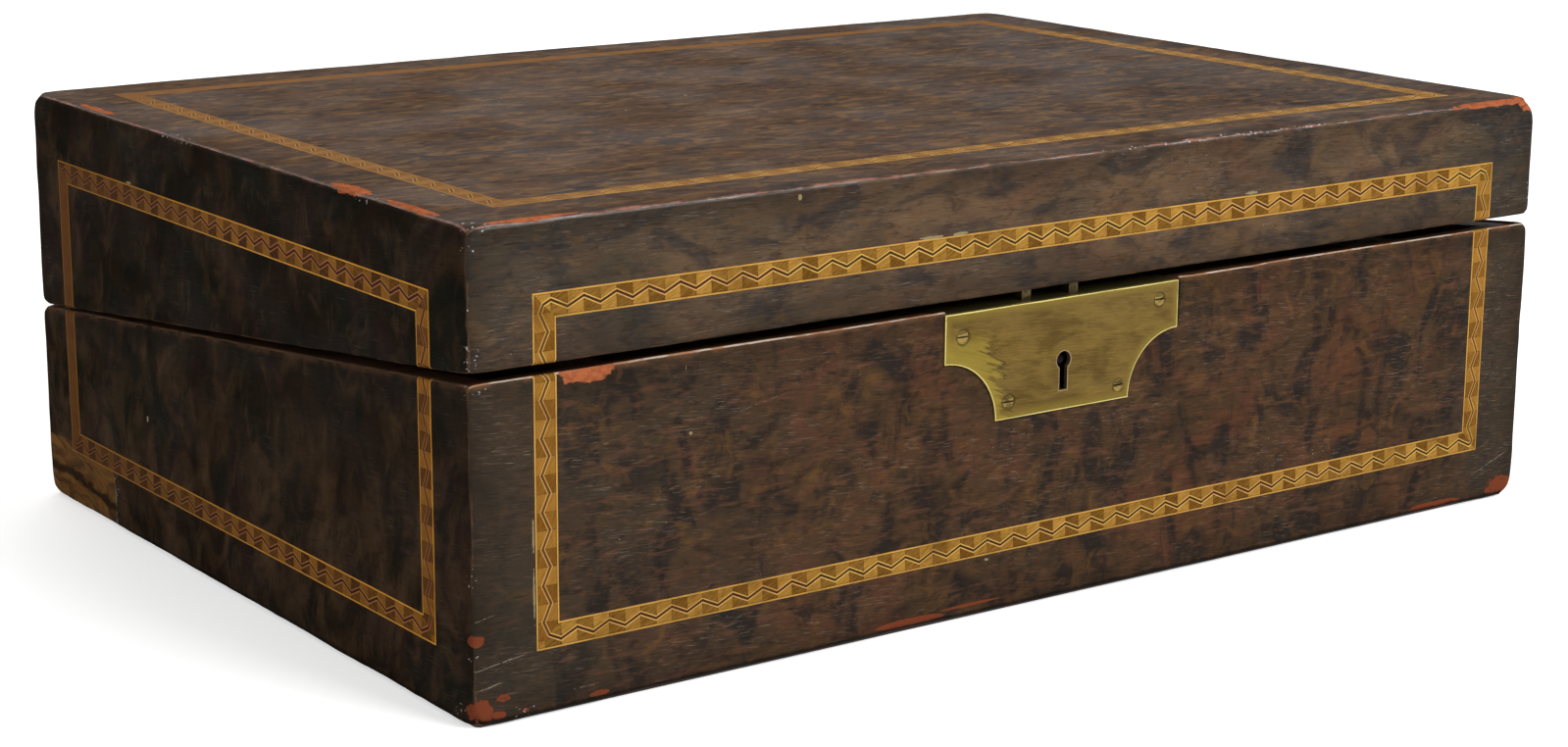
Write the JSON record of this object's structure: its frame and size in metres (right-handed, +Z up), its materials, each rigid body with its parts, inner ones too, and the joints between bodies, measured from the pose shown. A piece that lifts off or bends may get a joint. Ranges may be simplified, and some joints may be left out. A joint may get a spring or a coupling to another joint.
{
  "type": "writing slope",
  "caption": "Veneered portable writing box split on a slant, with zigzag banding, a brass box lock, leather writing flaps, paper wells and an ink and pen bay.",
  "frame": {"origin": "centre of the underside, on the table", "axes": "+X along the box to the right, +Y from the lock side to the hinge side, +Z up"},
  "size_m": [0.4, 0.2836, 0.134],
  "materials": {
    "veneer": "dark burr veneer, old worn polish",
    "banding": "inlaid zigzag stringing, polished",
    "carcase": "stained softwood",
    "interior_wood": "waxed mahogany",
    "brass": "aged brushed brass",
    "steel": "blued spring steel",
    "leather": "tooled skiver with gilt lines",
    "glass": "clear moulded glass"
  },
  "bodies": {
    "base": {"base_bottom_board": "carcase", "base_front_board": "carcase", "base_back_board": "carcase", "base_left_board": "carcase", "base_right_board": "carcase", "base_front_veneer": "veneer", "base_back_veneer": "veneer", "base_side_veneers": "veneer", "base_front_banding": "banding", "base_side_bandings": "banding", "lock_plate": "brass", "lock_plate_screws": "brass", "lock_case": "brass", "lock_key_post": "brass", "lock_spring": "steel", "base_ledges": "interior_wood", "base_hinge_rail": "interior_wood", "bay_divider": "interior_wood", "bay_floor": "interior_wood", "ink_partitions": "interior_wood", "pen_tray": "interior_wood", "inkwell_glasses": "glass", "inkwell_collars": "brass", "inkwell_caps": "brass", "main_hinge_base_leaves": "brass", "main_hinge_pins": "brass", "main_hinge_base_screws": "brass", "base_flap_fixed_leaves": "brass", "base_flap_hinge_pins": "brass"},
    "lid": {"lid_top_board": "carcase", "lid_front_board": "carcase", "lid_back_board": "carcase", "lid_left_board": "carcase", "lid_right_board": "carcase", "lid_top_veneer": "veneer", "lid_front_veneer": "veneer", "lid_back_veneer": "veneer", "lid_side_veneers": "veneer", "lid_top_banding": "banding", "lid_front_banding": "banding", "lid_side_bandings": "banding", "link_plate": "brass", "link_plate_screws": "brass", "main_hinge_lid_leaves": "brass", "main_hinge_lid_screws": "brass", "lid_ledges": "interior_wood", "lid_hinge_rail": "interior_wood", "lid_front_rail": "interior_wood", "lid_flap_fixed_leaves": "brass", "lid_flap_hinge_pins": "brass", "turn_button_screw": "brass"},
    "base_flap": {"base_flap_panel": "interior_wood", "base_flap_leather": "leather", "base_flap_moving_leaves": "brass"},
    "lid_flap": {"lid_flap_panel": "interior_wood", "lid_flap_leather": "leather", "lid_flap_moving_leaves": "brass"},
    "lock_bolt": {"lock_bolt": "brass"},
    "turn_button": {"turn_button": "brass"}
  },
  "joints": [
    {"name": "lid_hinge", "type": "hinge", "parent": "base", "child": "lid", "pos_m": [0, 0.1404, 0.06375], "axis": [-1, 0, 0], "range_deg": [0, 178.6]},
    {"name": "base_flap_hinge", "type": "hinge", "parent": "base", "child": "base_flap", "pos_m": [0, 0.11696, 0.06432], "axis": [-1, 0, 0], "range_deg": [0, 71.5]},
    {"name": "lid_flap_hinge", "type": "hinge", "parent": "lid", "child": "lid_flap", "pos_m": [0, 0.11732, 0.06816], "axis": [1, 0, 0], "range_deg": [0, 71.5]},
    {"name": "lock_bolt_slide", "type": "slide", "parent": "base", "child": "lock_bolt", "axis": [-1, 0, 0], "range_m": [0, 0.004]},
    {"name": "turn_button_pivot", "type": "hinge", "parent": "lid", "child": "turn_button", "pos_m": [0, -0.117, 0.09452], "axis": [0, -0.1118, -0.9937], "range_deg": [0, 90]}
  ],
  "couplings": [
    {"joint": "base_flap_hinge", "follows": "lid_hinge", "ratio": 0.4},
    {"joint": "lid_flap_hinge", "follows": "lid_hinge", "ratio": 0.4}
  ]
}
